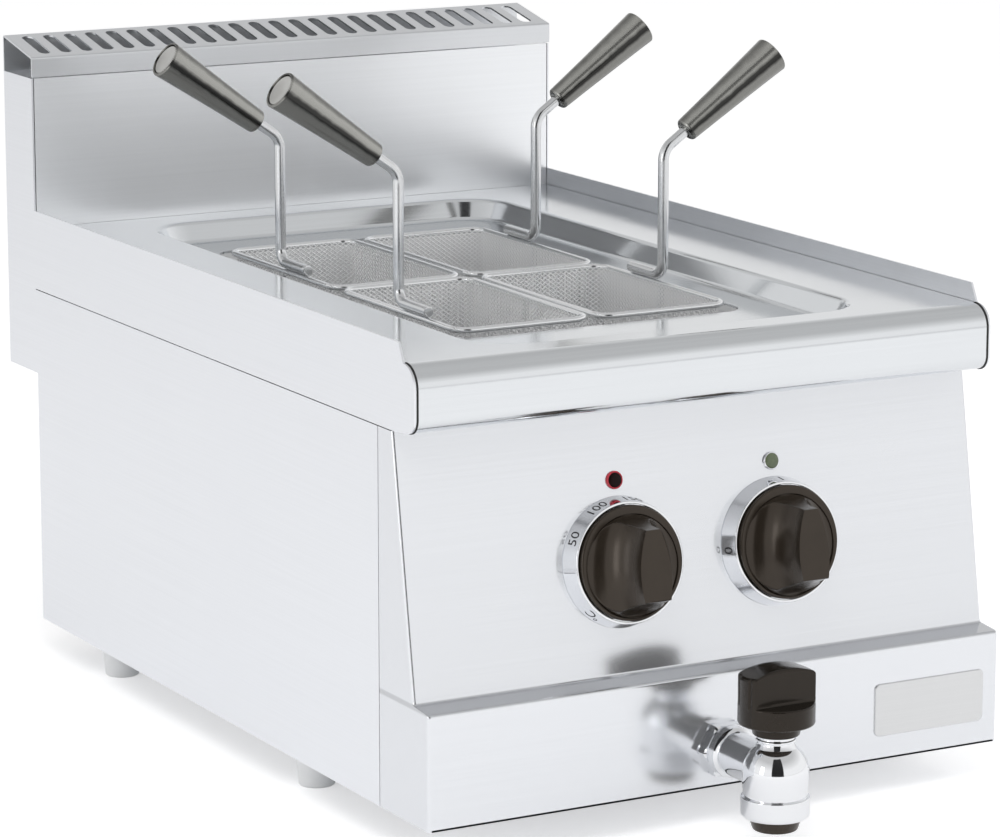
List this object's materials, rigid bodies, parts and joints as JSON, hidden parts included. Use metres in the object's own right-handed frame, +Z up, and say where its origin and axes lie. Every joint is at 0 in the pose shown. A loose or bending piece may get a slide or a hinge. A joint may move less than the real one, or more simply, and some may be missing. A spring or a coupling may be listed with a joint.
{
  "type": "countertop pasta cooker",
  "caption": "Countertop electric pasta cooker: steel housing, sunk tank with lift-out mesh baskets, dial controls, front drain tap and slotted rear upstand.",
  "frame": {"origin": "middle of the outer box on the bench surface under the feet", "axes": "+Z up, +Y from the drain tap to the back, +X to the right as seen from the front"},
  "size_m": [0.4, 0.6974, 0.439],
  "materials": {
    "satin_steel": "satin sheet with a fine grain",
    "plain_steel": "plain mill sheet",
    "bright_wire": "bright drawn wire",
    "mesh_steel": "woven fine wire",
    "grip_plastic": "moulded, semi-gloss grey brown",
    "chrome": "polished plating",
    "zinc_screw": "zinc plated",
    "dark_plastic": "moulded, satin brown black",
    "case_plastic": "moulded",
    "red_lens": "clear tinted",
    "green_lens": "clear tinted",
    "foot_plastic": "moulded, light grey",
    "heater_sheath": "heat darkened tube",
    "brass": "turned",
    "copper": "drawn tube",
    "ceramic": "fired block"
  },
  "bodies": {
    "cabinet": {"left_side_panel": "satin_steel", "right_side_panel": "satin_steel", "rear_panel": "satin_steel", "front_panel": "satin_steel", "worktop": "satin_steel", "left_skirt": "satin_steel", "right_skirt": "satin_steel", "upstand_shell": "satin_steel", "splash_panel": "satin_steel", "vent_cap": "satin_steel", "base_pan": "plain_steel", "tank": "plain_steel", "drain_pipe": "plain_steel", "tap_lock_nut": "chrome", "tap_body": "chrome", "thermostat_ring": "chrome", "switch_ring": "chrome", "blank_plate": "chrome", "rear_screws": "zinc_screw", "foot_screws": "zinc_screw", "tap_outlet": "dark_plastic", "cable_gland": "dark_plastic", "thermostat_body": "case_plastic", "switch_body": "case_plastic", "heat_lamp_body": "case_plastic", "power_lamp_body": "case_plastic", "heat_lamp_lens": "red_lens", "power_lamp_lens": "green_lens", "front_left_foot": "foot_plastic", "front_right_foot": "foot_plastic", "rear_left_foot": "foot_plastic", "rear_right_foot": "foot_plastic", "heating_tube": "heater_sheath", "heating_tube_glands": "brass", "thermostat_bulb": "copper", "terminal_block": "ceramic"},
    "thermostat_dial": {"thermostat_knob": "dark_plastic", "thermostat_spindle": "zinc_screw"},
    "switch_dial": {"switch_knob": "dark_plastic", "switch_spindle": "zinc_screw"},
    "tap_lever": {"tap_handle": "dark_plastic", "tap_plug": "brass"},
    "tray": {"support_tray": "plain_steel"},
    "front_left_basket": {"front_left_basket_mesh": "mesh_steel", "front_left_basket_rim": "bright_wire", "front_left_basket_rod": "bright_wire", "front_left_basket_grip": "grip_plastic"},
    "front_right_basket": {"front_right_basket_mesh": "mesh_steel", "front_right_basket_rim": "bright_wire", "front_right_basket_rod": "bright_wire", "front_right_basket_grip": "grip_plastic"},
    "rear_left_basket": {"rear_left_basket_mesh": "mesh_steel", "rear_left_basket_rim": "bright_wire", "rear_left_basket_rod": "bright_wire", "rear_left_basket_grip": "grip_plastic"},
    "rear_right_basket": {"rear_right_basket_mesh": "mesh_steel", "rear_right_basket_rim": "bright_wire", "rear_right_basket_rod": "bright_wire", "rear_right_basket_grip": "grip_plastic"}
  },
  "joints": [
    {"name": "thermostat_turn", "type": "hinge", "parent": "cabinet", "child": "thermostat_dial", "pos_m": [-0.055, -0.23734, 0.16281], "axis": [0, -0.9869, 0.1616], "range_deg": [-45, 95]},
    {"name": "switch_turn", "type": "hinge", "parent": "cabinet", "child": "switch_dial", "pos_m": [0.055, -0.23734, 0.16281], "axis": [0, -0.9869, 0.1616], "range_deg": [0, 90]},
    {"name": "tap_turn", "type": "hinge", "parent": "cabinet", "child": "tap_lever", "pos_m": [0, -0.32575, 0.048], "axis": [0, 0, 1], "range_deg": [0, 90]},
    {"name": "tray_lift", "type": "slide", "parent": "cabinet", "child": "tray", "axis": [0, 0, 1], "range_m": [0, 0.24]},
    {"name": "front_left_basket_lift", "type": "slide", "parent": "tray", "child": "front_left_basket", "axis": [0, 0, 1], "range_m": [0, 0.2]},
    {"name": "front_right_basket_lift", "type": "slide", "parent": "tray", "child": "front_right_basket", "axis": [0, 0, 1], "range_m": [0, 0.2]},
    {"name": "rear_left_basket_lift", "type": "slide", "parent": "tray", "child": "rear_left_basket", "axis": [0, 0, 1], "range_m": [0, 0.2]},
    {"name": "rear_right_basket_lift", "type": "slide", "parent": "tray", "child": "rear_right_basket", "axis": [0, 0, 1], "range_m": [0, 0.2]}
  ]
}
